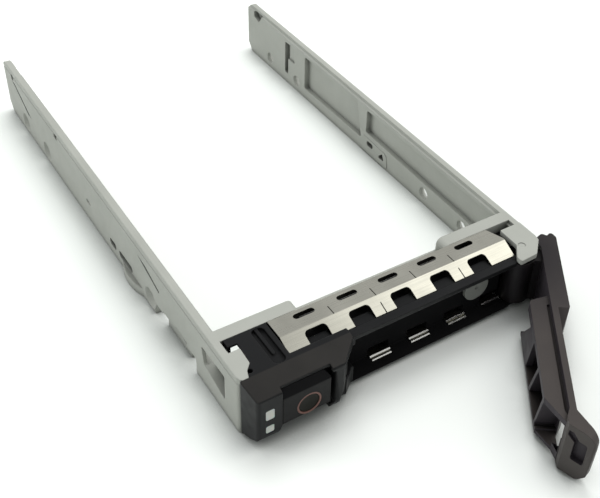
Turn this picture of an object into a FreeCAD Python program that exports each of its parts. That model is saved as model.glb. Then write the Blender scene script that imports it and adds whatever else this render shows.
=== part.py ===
import FreeCAD, Part
import math
import os

# Hot swap drive caddy for a 2.5 inch drive.  Millimetres, +Z up.
# The origin is on the underside of the tray, on the mid-plane, at the stop face that the drive's
# front end rests on.  The drive bay runs towards +Y and the bezel faces -Y.

Vec = FreeCAD.Vector
AXIS_X, AXIS_Y, AXIS_Z = Vec(1, 0, 0), Vec(0, 1, 0), Vec(0, 0, 1)

# ---- driving dimensions ----
DRIVE_WIDTH = 69.85
DRIVE_SIDE_GAP = 0.175
RAIL_WALL = 2.06
HEIGHT = 15.0
RAIL_END = 116.0
STOP_WALL = 3.0
BEZEL_FRONT = -18.5
SCREW_HOLE_Z = 3.0
SCREW_HOLE_R = 1.6
SCREW_SETS = ((11.15, 87.75), (26.26, 102.86))
STRIP_GAUGE = 0.2
FINGER_PITCH = 9.92
HINGE_X, HINGE_Y = 32.1, -11.5
HINGE_OPEN_DEG = 54.2
FIT = 0.05

# ---- sizes that follow ----
INNER = DRIVE_WIDTH / 2 + DRIVE_SIDE_GAP
OUTER = INNER + RAIL_WALL
WALL_FRONT = -STOP_WALL


# ---------------------------------------------------------------- helpers
def place_in(plane, level):
    """Gives the function that puts a flat (a, b) point on a plane at the given level."""
    if plane == "xy":
        return lambda a, b: Vec(a, b, level)
    if plane == "yz":
        return lambda a, b: Vec(level, a, b)
    return lambda a, b: Vec(a, level, b)


def outline(corners, plane, level):
    """A closed wire through (a, b) or (a, b, radius) corners; a radius rounds its corner."""
    put = place_in(plane, level)
    count = len(corners)
    edges = []
    start = None
    first = None
    for index, corner in enumerate(corners):
        here = Vec(corner[0], corner[1], 0)
        radius = corner[2] if len(corner) > 2 else 0.0
        before = corners[index - 1]
        after = corners[(index + 1) % count]
        back = (Vec(before[0], before[1], 0) - here).normalize()
        ahead = (Vec(after[0], after[1], 0) - here).normalize()
        if radius > 0:
            half = back.getAngle(ahead) / 2
            reach = radius / math.tan(half)
            enter = here + back * reach
            leave = here + ahead * reach
            middle = (back + ahead).normalize()
            crown = here + middle * (radius / math.sin(half) - radius)
        else:
            enter = leave = here
        if start is not None:
            edges.append(Part.makeLine(put(start.x, start.y), put(enter.x, enter.y)))
        if radius > 0:
            arc = Part.Arc(put(enter.x, enter.y), put(crown.x, crown.y), put(leave.x, leave.y))
            edges.append(arc.toShape())
        start = leave
        if first is None:
            first = enter
    edges.append(Part.makeLine(put(start.x, start.y), put(first.x, first.y)))
    return Part.Wire(edges)


def prism(corners, plane, low, high):
    """A solid from an outline, extruded square to its plane between two levels."""
    along = {"xy": AXIS_Z, "yz": AXIS_X, "xz": AXIS_Y}[plane]
    return Part.Face(outline(corners, plane, low)).extrude(along * (high - low))


def block(x0, x1, y0, y1, z0, z1):
    """A plain box between two corners."""
    return Part.makeBox(x1 - x0, y1 - y0, z1 - z0, Vec(x0, y0, z0))


def rod(radius, start, along, length):
    """A round rod from a start point along an axis."""
    return Part.makeCylinder(radius, length, start, along)


def obround(a, b, length, width, plane, low, high):
    """A prism with two straight sides and two round ends, long along its plane's first axis."""
    put = place_in(plane, low)
    half = (length - width) / 2
    side = width / 2
    corners = [put(a - half, b - side), put(a + half, b - side), put(a + half, b + side), put(a - half, b + side)]
    wire = Part.Wire(
        [
            Part.makeLine(corners[0], corners[1]),
            Part.Arc(corners[1], put(a + half + side, b), corners[2]).toShape(),
            Part.makeLine(corners[2], corners[3]),
            Part.Arc(corners[3], put(a - half - side, b), corners[0]).toShape(),
        ]
    )
    along = {"xy": AXIS_Z, "yz": AXIS_X, "xz": AXIS_Y}[plane]
    return Part.Face(wire).extrude(along * (high - low))


def rounded(a0, a1, b0, b1, radius):
    """Corners of a rectangle with one corner radius."""
    return [(a0, b0, radius), (a1, b0, radius), (a1, b1, radius), (a0, b1, radius)]


def mirrored(shape):
    """The same shape on the other side of the mid-plane."""
    return shape.mirror(Vec(0, 0, 0), AXIS_X)


def join(shapes):
    """One solid from touching shapes, with the seams between flush faces removed."""
    return shapes[0].fuse(shapes[1:]).removeSplitter()


def ring(outer, inner, start, along, length):
    """A round tube."""
    return rod(outer, start, along, length).cut(rod(inner, start, along, length))


def coil(radius, pitch, turns, wire_radius, start, tilt_deg):
    """A coil spring of drawn wire, lofted through six-sided sections that climb a helix."""
    steps = 12
    sections = []
    for index in range(turns * steps + 1):
        turn = 2 * math.pi * index / steps
        outward = Vec(math.cos(turn), math.sin(turn), 0)
        centre = start + outward * radius + AXIS_Z * (pitch * index / steps)
        points = []
        for side in range(6):
            angle = math.pi * side / 3
            points.append(centre + outward * (wire_radius * math.cos(angle)) + AXIS_Z * (wire_radius * math.sin(angle)))
        sections.append(Part.makePolygon(points + [points[0]]))
    spring = Part.makeLoft(sections, True, True)
    if tilt_deg:
        spring.rotate(start, AXIS_X, tilt_deg)
    return spring


# ---------------------------------------------------------------- tray
ARM_FRONT_LEFT = -13.0
ARM_FRONT_RIGHT = -10.0
ARM_PLATE = 1.2
POCKET_DEPTH = 1.4
LEFT_PLATE_EDGE = [(-33.2, -6.4, 0.3), (-33.4, -10.5, 0.6), (-34.7, -11.9, 0.4), (-35.2, -13.5, 0.3)]
COUNTERSINK_R = 2.5
COUNTERSINK_DEPTH = 1.1
GROOVE_Z = 13.35


def rail_solid(front):
    """The right rail: a drafted wall with a rim groove outside and a thin ledge inside."""
    section = [
        (INNER, 0.0),
        (OUTER, 0.0, 0.3),
        (OUTER, GROOVE_Z - 0.25),
        (OUTER - 0.3, GROOVE_Z),
        (OUTER, GROOVE_Z + 0.25),
        (OUTER, HEIGHT, 0.25),
        (INNER + 0.5, HEIGHT),
        (INNER + 0.5, HEIGHT - 0.8),
        (INNER, HEIGHT - 1.0),
    ]
    wall = prism(section, "xz", front, RAIL_END)
    side = [
        (front, 0.0),
        (RAIL_END - 2.2, 0.0, 0.8),
        (RAIL_END, 2.6, 0.8),
        (RAIL_END, HEIGHT, 1.6),
        (front, HEIGHT),
    ]
    wall = wall.common(prism(side, "yz", INNER - 1, OUTER + 1))
    return wall.cut(join(inner_pockets()))


def inner_pockets():
    """Hollows in the inner face of a rail, which keep its walls one thickness."""
    x0, x1 = INNER - 1, INNER + POCKET_DEPTH
    long_bay = [(54.2, 3.4, 0.6), (83.2, 3.0, 0.6), (83.2, 13.1, 0.6), (56.6, 13.1, 0.6)]
    front_bay = [(0.6, 5.6, 0.4), (52.2, 6.2, 0.6), (52.2, 12.9, 0.6), (0.6, 13.1, 0.4)]
    return [
        prism(long_bay, "yz", x0, x1),
        prism(front_bay, "yz", x0, x1),
        prism(rounded(92.3, 94.1, 3.0, 12.8, 0.4), "yz", x0, x1),
        prism(rounded(88.8, 93.0, 8.0, 12.8, 0.4), "yz", x0, INNER + 0.6),
        prism([(107.6, 14.2), (112.4, 14.2, 0.5), (112.4, 12.4, 0.5), (109.6, 11.6, 0.5)], "yz", x0, x1),
    ]


def rail_openings():
    """What goes through a rail: countersunk drive screw holes and the small rear eye."""
    cutters = []
    for screw_set in SCREW_SETS:
        for y in screw_set:
            cutters.append(rod(SCREW_HOLE_R, Vec(INNER - 1, y, SCREW_HOLE_Z), AXIS_X, RAIL_WALL + 2))
            seat = Vec(OUTER - COUNTERSINK_DEPTH, y, SCREW_HOLE_Z)
            cutters.append(Part.makeCone(SCREW_HOLE_R, COUNTERSINK_R, COUNTERSINK_DEPTH, seat, AXIS_X))
    cutters.append(rod(0.95, Vec(INNER - 1, 109.6, 13.0), AXIS_X, RAIL_WALL + 2))
    return cutters


def left_rail_details():
    """Cuts that only the left rail's outer face has, as solids on the left side."""
    skin = -OUTER + 0.4
    outside = -OUTER - 1
    swirl = [(31.5, 11.3), (27.5, 10.0, 3.0), (21.2, 8.2), (21.0, 8.9), (27.2, 10.9, 3.0)]
    return [
        prism([(97.5, 7.0), (99.6, 7.0, 0.4), (110.0, 11.8), (108.2, 11.8, 0.4)], "yz", outside, skin),
        prism(swirl, "yz", outside, -OUTER + 0.3),
        prism(rounded(77.6, 79.6, 12.2, 13.2, 0.3), "yz", outside, -OUTER + 0.9),
        obround(59.8, 5.7, 2.4, 1.3, "yz", outside, -INNER + 1),
        obround(46.0, 3.3, 3.6, 1.8, "yz", outside, -OUTER + 1.3),
        obround(39.0, 3.3, 7.2, 1.9, "yz", outside, -OUTER + 1.3),
        prism([(19.8, -1), (19.8, 3.8, 0.3), (24.2, 3.6, 0.5), (24.2, -1)], "yz", outside, -INNER + 0.5),
        prism([(4.8, -1), (4.8, 4.2, 0.5), (8.9, 4.0, 0.3), (8.9, -1)], "yz", outside, -INNER + 0.5),
        prism(
            [(8.7, -1), (8.7, 5.0, 0.4), (13.6, 5.2, 0.4), (14.6, 4.6, 0.4), (20.0, 4.2, 0.4), (20.0, -1)],
            "yz",
            outside,
            -OUTER + 1.0,
        ),
    ]


def guide_bump():
    """The springy bulge low on the left rail that steadies the caddy in its cage."""
    plan = Part.makeSphere(14.0, Vec(-OUTER + 12.9, 35.6, 0.6))
    return plan.common(block(-OUTER - 2, -OUTER + 0.5, 30.0, 41.5, 0.0, 2.2))


def arm_window():
    """The four-sided window in the left arm's outer wall."""
    corners = [(1.9, 10.3, 0.5), (-7.6, 10.7, 0.5), (-7.4, 4.0, 0.5), (1.1, 6.0, 0.5)]
    return prism(corners, "yz", -OUTER - 1, -INNER + 0.05)


def right_plate(low, high):
    """The right arm's plan outline as a plate; the lever's hub turns below the tray's own plate."""
    corners = [
        (31.5, -4.9, 0.3),
        (31.45, -10.5, 0.4),
        (28.9, -13.6, 0.5),
        (28.9, -15.1, 0.4),
        (33.4, -14.9, 0.5),
        (OUTER - 0.3, -11.6, 0.5),
        (OUTER, -10.0, 0.5),
        (OUTER, -4.9),
    ]
    return prism(corners, "xy", low, high)


def carrier_tray():
    """The grey U-shaped moulding: two rails, the stop wall, the top tabs and the two arms."""
    right = rail_solid(ARM_FRONT_RIGHT)
    left = mirrored(rail_solid(ARM_FRONT_LEFT))
    openings = join(rail_openings())
    right = right.cut(openings)
    left = left.cut(mirrored(openings))
    left = left.cut(join(left_rail_details()))
    left = left.common(prism([(-OUTER, ARM_FRONT_LEFT, 0.9), (0, ARM_FRONT_LEFT), (0, RAIL_END), (-OUTER, RAIL_END)], "xy", 0, HEIGHT))
    pad = prism([(41.8, 0.4, 0.8), (53.6, 0.4, 0.8), (53.6, 5.0, 0.8), (42.6, 4.6, 1.2)], "yz", INNER - 0.12, INNER + 0.5)
    right = right.fuse(pad)
    right = right.cut(obround(49.9, 3.4, 2.8, 1.5, "yz", INNER - 1, INNER + 1.3))
    right = right.cut(prism([(43.4, 2.0, 0.3), (46.2, 2.0, 0.3), (44.2, 4.0, 0.3)], "yz", INNER - 1, INNER + 1.3))

    wall = block(-INNER - 0.5, INNER + 0.5, WALL_FRONT, 0, 0, 12.0)
    tab_left = prism([(-INNER - 0.6, 11), (-18.4, 11), (-18.4, HEIGHT, 1.4), (-INNER - 0.6, HEIGHT)], "xz", WALL_FRONT, 0)
    tab_right = prism([(17.6, 11), (INNER + 0.6, 11), (INNER + 0.6, HEIGHT), (17.6, HEIGHT, 1.4)], "xz", WALL_FRONT, 0)
    left_plate = prism(
        [(-OUTER + 0.5, -6.4)] + LEFT_PLATE_EDGE + [(-OUTER + 0.2, -13.5, 0.7)],
        "xy",
        HEIGHT - ARM_PLATE,
        HEIGHT,
    )
    tray = join(
        [wall, tab_left, tab_right, left, right, left_plate, guide_bump()]
        + [right_plate(HEIGHT - ARM_PLATE, HEIGHT)]
    )
    tray = tray.cut(arm_window())
    tray = tray.cut(prism(rounded(-34.0, -26.5, 5.0, 12.6, 0.6), "xz", WALL_FRONT - 1, 1))
    tray = tray.cut(rod(STUD_SHANK_R, Vec(STUD_X, WALL_FRONT - 1, STUD_Z), AXIS_Y, 3.5))
    tray = tray.cut(rod(PIN_R, Vec(HINGE_X, HINGE_Y, 0), AXIS_Z, PIN_TOP))
    return tray.cut(rod(0.85, Vec(HINGE_X + 0.3, HINGE_Y + 0.4, HEIGHT - 0.15), AXIS_Z, 1))


# ---------------------------------------------------------------- bezel
BEZEL_BACK = WALL_FRONT
LIP_FRONT = -14.1
CAVITY_BACK = -10.0
CAVITY_LEFT = -12.6
CAVITY_FLOOR = 1.1
CAVITY_ROOF = 12.9
BUTTON_X0, BUTTON_X1 = -31.0, -20.8
BUTTON_Z0, BUTTON_Z1 = 4.4, 12.9
STUD_X, STUD_Z = 21.2, 7.5
STUD_SHANK_R = 1.5
STUD_HEAD_R = 3.2
PIN_R = 0.6
PIN_TOP = HEIGHT - 0.55
STRIP_X0, STRIP_X1 = -25.7, 29.2
STRIP_FOLD = -7.9
STRIP_TIP = -11.8
TAB_CENTRES = [-23.4, -13.6, -3.67, 6.25, 16.17, 26.1]


def bezel_body():
    """The outer form: a plan outline met by a side profile with a sloped brow and a chin chamfer."""
    plan = [
        (-INNER + 0.1, BEZEL_BACK),
        (INNER - 0.1, BEZEL_BACK),
        (INNER - 0.1, -4.8, 0.3),
        (31.35, -4.8),
        (31.35, -10.45),
        (28.8, -13.5),
        (28.8, LIP_FRONT, 0.3),
        (-13.1, LIP_FRONT),
        (-16.9, -17.6, 1.2),
        (-17.7, BEZEL_FRONT, 0.4),
        (-36.2, BEZEL_FRONT, 0.9),
        (-37.1, -13.5, 0.2),
        (-INNER + 0.1, -13.5),
    ]
    side = [
        (BEZEL_BACK, STRIP_GAUGE),
        (-12.4, STRIP_GAUGE),
        (-13.4, 0.6),
        (-14.4, 1.3),
        (-15.9, 1.5, 1.0),
        (BEZEL_FRONT, 2.8, 1.2),
        (BEZEL_FRONT, 13.3, 0.5),
        (-13.5, HEIGHT),
        (BEZEL_BACK, HEIGHT),
    ]
    body = prism(plan, "xy", -1, HEIGHT + 1)
    return body.common(prism(side, "yz", -40, 40))


def strip_recesses():
    """Sunk beds for the two spring strips, and the lip that covers the cavity."""
    bed_right = 35.5
    return [
        block(STRIP_X0 - 0.3, bed_right, -9.4, BEZEL_BACK + 1, 12.6, HEIGHT + 1),
        block(STRIP_X0 - 0.3, bed_right, -12.2, -9.3, 13.45, HEIGHT + 1),
        block(CAVITY_LEFT - 1.0, bed_right, -15.0, -12.1, 13.95, HEIGHT + 1),
        block(STRIP_X0 - 0.3, bed_right, STRIP_TIP - 0.5, STRIP_FOLD + 0.5, 0, 0.9),
        block(STRIP_X0 - 0.3, bed_right, BEZEL_BACK - 0.5, BEZEL_BACK + 1, 0, 2.6),
        block(STRIP_X0 - 0.3, -20.4, STRIP_TIP - 0.5, -8.4, 0, 2.4),
    ]


def cavity():
    """The deep trough behind the closed lever, with its finger windows in the floor and roof."""
    plan = [(CAVITY_LEFT, CAVITY_BACK, 0.8), (40, CAVITY_BACK), (40, -16), (CAVITY_LEFT, -16)]
    trough = prism(plan, "xy", CAVITY_FLOOR, CAVITY_ROOF)
    cutters = [trough]
    for centre in TAB_CENTRES[1:]:
        window = prism(rounded(centre - 2.6, centre + 2.6, -12.6, -8.4, 0.3), "xy", -1, 3.2)
        cutters.append(window)
        cutters.append(prism(rounded(centre - 2.6, centre + 2.6, -12.1, -9.6, 0.3), "xy", CAVITY_ROOF - 0.5, HEIGHT))
    return cutters


def button_pocket():
    """The pocket for the release button, open at the front and below, and the slot beside it."""
    pocket = block(BUTTON_X0 - 0.12, BUTTON_X1 + 0.12, -20, -7.9, BUTTON_Z0 - 0.12, BUTTON_Z1 + 0.12)
    chin = block(BUTTON_X0 - 0.12, BUTTON_X1 + 0.12, -20, -14.5, -1, BUTTON_Z0)
    brow = block(BUTTON_X0 - 0.12, -20.4, -20, -17.25, BUTTON_Z0, HEIGHT)
    slot = prism([(-21.1, 3.6, 0.4), (-19.6, 3.6, 0.6), (-19.6, 12.4, 0.3), (-21.1, 12.8)], "xz", -20, -13.0)
    latch_way = block(-20.9, -12.0, -16.4, -11.2, 5.4, 10.6)
    nose_window = block(-16.8, CAVITY_LEFT + 0.5, -19, -12.5, 7.0, 11.6)
    foot = [(-22, -1), (-22, 3.0), (-20.5, 2.4, 1.0), (-18.3, 2.4, 1.2), (-16.5, 3.6), (-16.5, -1)]
    corner = [(-31.6, -1), (-31.6, 2.2), (-30.9, 3.8), (-30.0, 3.8), (-30.0, -1)]
    under = [prism(foot, "xz", -20, -17.4), prism(corner, "xz", -20, -16.8)]
    return [pocket, chin, brow, slot, latch_way, nose_window] + under


def left_block_hollow():
    """Hollow space behind the left top plate, and the seat that the arm's plate lies in."""
    plate_room = [(x + FIT, y - FIT) for x, y, _ in LEFT_PLATE_EDGE]
    plate_room[0] = (plate_room[0][0], -6.35)
    return [
        block(-34.4, -31.6, -12.4, BEZEL_BACK + 1, 11.2, 13.8),
        block(-34.4, -29.0, -6.5, BEZEL_BACK + 1, 4.0, 13.8),
        block(-INNER - 1, -33.1, -6.45, -5.0, 4.0, HEIGHT + 1),
        prism([(-OUTER - 1, -6.35)] + plate_room + [(-OUTER - 1, -13.55)], "xy", HEIGHT - ARM_PLATE - FIT, HEIGHT + 1),
        rod(0.55, Vec(-34.3, -12.2, HEIGHT - 1.6), AXIS_Z, 2),
        block(-OUTER - 1, -INNER + FIT, ARM_FRONT_LEFT - 0.45, 0, -1, HEIGHT + 1),
    ]


def top_groove():
    """The obround groove on the left top plate with its low rib."""
    groove = prism(rounded(-29.7, -27.0, -13.4, -3.4, 1.2), "xy", HEIGHT - 0.7, HEIGHT + 1)
    rib = prism(rounded(-28.7, -28.0, -10.6, -3.2, 0.3), "xy", HEIGHT - 0.9, HEIGHT - 0.25)
    return groove, rib


PIPES = {"upper": (-34.6, -32.8, 7.7, 10.2), "lower": (-34.6, -32.9, 4.2, 6.0)}


def pipe_bar(name, grow, y0, y1):
    """A light pipe's square-ended bar; grow widens it for the channel it sits in."""
    x0, x1, z0, z1 = PIPES[name]
    return prism(rounded(x0 - grow, x1 + grow, z0 - grow, z1 + grow, 0.35), "xz", y0, y1)


def bezel():
    """The black bezel moulding."""
    body = bezel_body()
    groove, rib = top_groove()
    cutters = strip_recesses() + cavity() + button_pocket() + left_block_hollow() + [groove]
    for name in PIPES:
        cutters.append(pipe_bar(name, 0.0, BEZEL_FRONT - 1, -6.5))
    hub_room = rod(4.0, Vec(HINGE_X, HINGE_Y, 0.9), AXIS_Z, HEIGHT - ARM_PLATE - 0.8)
    cutters.append(hub_room)
    cutters.append(block(31.4, 36, -12, -4.9, -1, HEIGHT + 1))
    cutters.append(block(28.8, 31.45, -15, HINGE_Y, -1, CAVITY_FLOOR - FIT))
    cutters.append(rod(STUD_SHANK_R, Vec(STUD_X, CAVITY_BACK - 1, STUD_Z), AXIS_Y, 9))
    cutters.append(rod(SPRING_R + 0.25, Vec(SPRING_X, -8.5, SPRING_Z), AXIS_Y, 3.5))
    body = body.cut(join(cutters))
    body = join([body, rib, hinge_foot()])
    return body.cut(rod(PIN_R, Vec(HINGE_X, HINGE_Y, 0), AXIS_Z, HEIGHT))


def hinge_foot():
    """The tongue of the bezel's floor that carries the lower end of the hinge pin."""
    plan = [(29.4, -4.8), (34.9, -4.8), (34.9, -11.2, 0.8), (33.4, -13.2, 0.8), (28.0, -13.2), (28.0, -12.4), (29.4, -12.4)]
    return prism(plan, "xy", STRIP_GAUGE, 1.0)


# ---------------------------------------------------------------- spring strips
def spring_strip():
    """The top strip: a hooked sheet with slots, slits and a row of sprung tabs."""
    top = HEIGHT + STRIP_GAUGE
    drop = STRIP_GAUGE
    tip_z = 13.7
    section = [
        (BEZEL_BACK - 0.02, 12.9),
        (BEZEL_BACK - 0.02, top, 0.35),
        (STRIP_FOLD, top, 0.45),
        (STRIP_TIP, tip_z),
        (STRIP_TIP + 0.08, tip_z - drop),
        (STRIP_FOLD + 0.05, top - drop, 0.2),
        (BEZEL_BACK - 0.02 - drop, top - drop, 0.12),
        (BEZEL_BACK - 0.02 - drop, 12.9),
    ]
    sheet = prism(section, "yz", STRIP_X0, STRIP_X1)
    cutters = []
    for index in range(5):
        centre = -18.55 + FINGER_PITCH * index
        cutters.append(obround(centre, -4.8, 4.7, 1.35, "xy", HEIGHT - 0.5, HEIGHT + 1))
        notch = rounded(centre - 2.45, centre + 2.45, -14.0, -8.7, 0.9)
        cutters.append(prism(notch, "xy", 12.0, HEIGHT + 1))
    for centre in TAB_CENTRES[1:5]:
        cutters.append(block(centre - 0.12, centre + 0.12, STRIP_FOLD, STRIP_FOLD + 2.4, HEIGHT - 0.5, HEIGHT + 1))
    cutters.append(block(STRIP_X1 - 0.7, STRIP_X1 + 1, -12.5, -8.6, 12, HEIGHT + 1))
    return sheet.cut(join(cutters))


def lower_strip():
    """The same strip turned over, flush with the tray's underside."""
    strip = spring_strip()
    strip = strip.mirror(Vec(0, 0, (HEIGHT + STRIP_GAUGE) / 2), AXIS_Z)
    return strip


# ---------------------------------------------------------------- release button
SPRING_X, SPRING_Z = -25.9, 7.4
SPRING_R = 1.5
SPRING_PITCH = 1.7
SPRING_WIRE = 0.18
DISH_X, DISH_Z = -25.4, 7.0
DISH_R = 2.65
BUTTON_BACK = -11.5
SPRING_SEAT = -14.0


def release_button():
    """The button: a dished face, a sloped brow, a latch nose that reaches past the guard."""
    side = [
        (BEZEL_FRONT, BUTTON_Z0, 0.3),
        (BEZEL_FRONT, 11.4, 0.8),
        (-17.3, BUTTON_Z1, 0.3),
        (BUTTON_BACK, BUTTON_Z1),
        (BUTTON_BACK, BUTTON_Z0),
    ]
    body = prism(side, "yz", BUTTON_X0, BUTTON_X1)
    corner = prism([(BUTTON_X1 - 1.2, 13.2), (BUTTON_X1 + 0.2, 11.4), (BUTTON_X1 + 0.2, 13.2)], "xz", -19, -15)
    body = body.cut(corner)
    dish = Part.makeSphere(6.2, Vec(DISH_X, BEZEL_FRONT - 5.65, DISH_Z))
    body = body.cut(dish)
    body = body.cut(dish_ring(0.0))
    arm = block(BUTTON_X1 - 0.5, -15.2, -14.6, -12.9, 6.0, 10.0)
    nose = prism([(-16.8, -14.0), (-15.2, -14.0), (-15.2, -15.7), (-15.8, -16.3, 0.2), (-16.8, -16.3, 0.2)], "xy", 6.2, 9.8)
    body = body.fuse(arm).fuse(nose).removeSplitter()
    return body.cut(rod(SPRING_R + 0.25, Vec(SPRING_X, SPRING_SEAT, SPRING_Z), AXIS_Y, 6))


def dish_ring(shrink):
    """The coloured ring let into the button around its dish."""
    start = Vec(DISH_X, BEZEL_FRONT - 0.02, DISH_Z)
    return ring(DISH_R - shrink, DISH_R - 0.45 + shrink, start, AXIS_Y, 0.5)


def button_spring():
    """The compression spring behind the button."""
    return coil(SPRING_R - 0.2, SPRING_PITCH, 5, SPRING_WIRE, Vec(SPRING_X, SPRING_SEAT + SPRING_WIRE, SPRING_Z), -90)


# ---------------------------------------------------------------- lever
LEVER_BOTTOM, LEVER_TOP = 1.3, 12.6
PLATE_BOTTOM, PLATE_TOP = 0.9, 13.6
PLATE_INNER, PLATE_OUTER = 4.6, 5.9
THICK_OUTER = 8.4
HUB_R = 3.3
HUB_SPRING_R = 1.75
CHANNEL_INNER = 0.5
TIP_ANGLE = 52.0


def lever_plate():
    """The outer band with its thick root, cam lobes and the sloped step between them."""
    corners = [
        (-6.6, 5.2, 0.7),
        (-6.0, 6.4, 0.2),
        (-7.4, 7.3, 0.6),
        (-5.6, THICK_OUTER, 0.8),
        (16.3, THICK_OUTER, 0.4),
        (23.0, PLATE_OUTER),
        (43.0, PLATE_OUTER),
        (43.0, PLATE_INNER),
        (-2.0, PLATE_INNER),
        (-4.4, 3.4),
    ]
    return prism(corners, "xy", PLATE_BOTTOM, PLATE_TOP)


def lever_channel():
    """The inner channel: a top flange, a thin floor, a slanted face and slanted ribs."""
    flange = [
        (12.3, PLATE_INNER + 0.2),
        (14.1, CHANNEL_INNER, 1.2),
        (39.9, CHANNEL_INNER, 0.6),
        (45.2, 3.9),
        (45.2, PLATE_INNER + 0.2),
    ]
    floor = [(12.6, CHANNEL_INNER), (38.7, CHANNEL_INNER, 0.3), (42.6, 3.1), (44.6, 3.9), (44.6, 4.8), (12.6, 4.8)]
    face = [(12.6, LEVER_BOTTOM), (22.2, LEVER_BOTTOM), (25.0, LEVER_TOP), (21.3, LEVER_TOP)]
    reach = PLATE_INNER + 0.2
    parts = [
        prism(flange, "xy", 11.3, LEVER_TOP),
        prism(floor, "xy", LEVER_BOTTOM, 2.1),
        block(14.6, 21.5, CHANNEL_INNER, CHANNEL_INNER + 1.1, 10.4, LEVER_TOP),
        prism(face, "xz", CHANNEL_INNER, CHANNEL_INNER + 1.4),
        prism([(38.0, 1.4), (38.9, 1.4), (38.6, 3.3), (38.2, 3.3)], "xz", CHANNEL_INNER, reach),
        prism([(42.6, 3.1), (44.9, 3.8), (44.9, 4.9), (43.6, 4.9)], "xy", LEVER_BOTTOM, 7.6),
    ]
    for low, high in (((21.0, 2.0), (24.0, 12.0)), ((28.0, 2.0), (31.5, 12.0)), ((36.6, 2.0), (39.0, 12.0))):
        rib = [(low[0], low[1]), (low[0] + 1.0, low[1]), (high[0] + 1.0, high[1]), (high[0], high[1])]
        parts.append(prism(rib, "xz", CHANNEL_INNER, reach))
    return parts


def lever_trims():
    """What is cut from the lever: the groove along its plate, the end window and the step's slope."""
    groove = prism([(15.0, 3.9, 0.3), (42.5, 3.9, 0.3), (44.0, 4.55), (15.0, 4.55)], "xy", LEVER_TOP - 0.45, LEVER_TOP + 0.3)
    window = prism(rounded(40.0, 43.3, 2.6, 10.6, 0.4), "xz", 3.9, PLATE_OUTER + 1.0)
    slope = prism([(16.6, PLATE_TOP), (24.0, 7.0), (24.0, PLATE_TOP + 1)], "xz", PLATE_OUTER + 0.05, THICK_OUTER + 1)
    return [groove, window, slope]


def finger_tab():
    """The flared finger tab: its free edge leans, and its inner face has the latch recess."""
    heading = math.radians(TIP_ANGLE)
    ahead = Vec(math.cos(heading), math.sin(heading), 0)
    root = Vec(46.4, 4.0, 0)
    tip = root + ahead * 6.2
    corners = [
        (42.6, PLATE_INNER),
        (44.8, 3.9),
        (root.x, root.y, 0.3),
        (tip.x, tip.y, 0.5),
        (tip.x - 1.5, tip.y + 0.5, 0.6),
        (46.2, 7.7, 2.2),
        (42.9, PLATE_OUTER - 0.1),
    ]
    tab = prism(corners, "xy", PLATE_BOTTOM, PLATE_TOP)
    panel = [(-6, 0.9), (3.9, 0.9, 1.2), (5.6, 3.0, 1.5), (6.1, 13.6, 2.8), (-6, 13.6)]
    trim = prism(panel, "xz", -6, 6)
    trim.rotate(Vec(0, 0, 0), AXIS_Z, TIP_ANGLE)
    trim.translate(root)
    recess = prism(rounded(1.8, 4.4, 5.3, 10.8, 0.5), "xz", -0.5, 1.1)
    lead = prism([(0.3, 11.0), (0.3, 12.2), (1.4, 12.2), (3.0, 10.4), (2.2, 9.6)], "xz", -0.5, 0.6)
    recess = recess.fuse(lead)
    recess.rotate(Vec(0, 0, 0), AXIS_Z, TIP_ANGLE)
    recess.translate(root)
    return tab.common(trim).cut(recess)


def to_hinge(shape):
    """Carries a shape from the lever's own axes to its place, with the lever standing open."""
    moved = shape.copy()
    moved.rotate(Vec(0, 0, 0), AXIS_Z, 180 + HINGE_OPEN_DEG)
    moved.translate(Vec(HINGE_X, HINGE_Y, 0))
    return moved


def release_lever():
    """The lever as one moulding, built along +X from its hinge and then swung to its place."""
    hub = rod(HUB_R, Vec(0, 0, LEVER_BOTTOM), AXIS_Z, LEVER_TOP - LEVER_BOTTOM)
    web = block(-2.4, 1.6, 0, PLATE_INNER + 0.2, LEVER_BOTTOM, LEVER_TOP)
    lever = join([lever_plate(), hub, web, finger_tab()] + lever_channel())
    lever = lever.cut(join(lever_trims()))
    lever = lever.cut(rod(PIN_R + FIT, Vec(0, 0, 0), AXIS_Z, HEIGHT))
    lever = lever.cut(rod(2.3, Vec(0, 0, 4.0), AXIS_Z, 6.0))
    return to_hinge(lever)


def lever_spring():
    """The torsion spring wound round the hinge pin inside the lever's hub."""
    return coil(HUB_SPRING_R, 0.75, 6, 0.22, Vec(HINGE_X, HINGE_Y, 4.8), 0)


def hinge_pin():
    """The steel pin that joins the lever to the right arm."""
    return rod(PIN_R, Vec(HINGE_X, HINGE_Y, STRIP_GAUGE), AXIS_Z, PIN_TOP - STRIP_GAUGE)


# ---------------------------------------------------------------- small parts
def fixing_stud():
    """The round-headed stud that pins the bezel to the tray's stop wall."""
    head = rod(STUD_HEAD_R, Vec(STUD_X, CAVITY_BACK - 0.8, STUD_Z), AXIS_Y, 0.8)
    shank = rod(STUD_SHANK_R, Vec(STUD_X, CAVITY_BACK - 0.1, STUD_Z), AXIS_Y, 9.3)
    stud = head.fuse(shank)
    return stud.cut(rod(0.45, Vec(STUD_X, CAVITY_BACK - 1, STUD_Z), AXIS_Y, 0.6)).removeSplitter()


def light_pipe(name):
    """One clear light pipe, level with the bezel's face."""
    return pipe_bar(name, 0.0, BEZEL_FRONT, -6.5)


def build():
    """Makes every sub-part in its place."""
    parts = {
        "carrier_tray": carrier_tray(),
        "bezel": bezel(),
        "spring_strip_top": spring_strip(),
        "spring_strip_bottom": lower_strip(),
        "release_button": release_button(),
        "button_ring": dish_ring(0.0),
        "button_spring": button_spring(),
        "release_lever": release_lever(),
        "lever_spring": lever_spring(),
        "hinge_pin": hinge_pin(),
        "fixing_stud": fixing_stud(),
        "light_pipe_upper": light_pipe("upper"),
        "light_pipe_lower": light_pipe("lower"),
    }
    return parts


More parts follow.
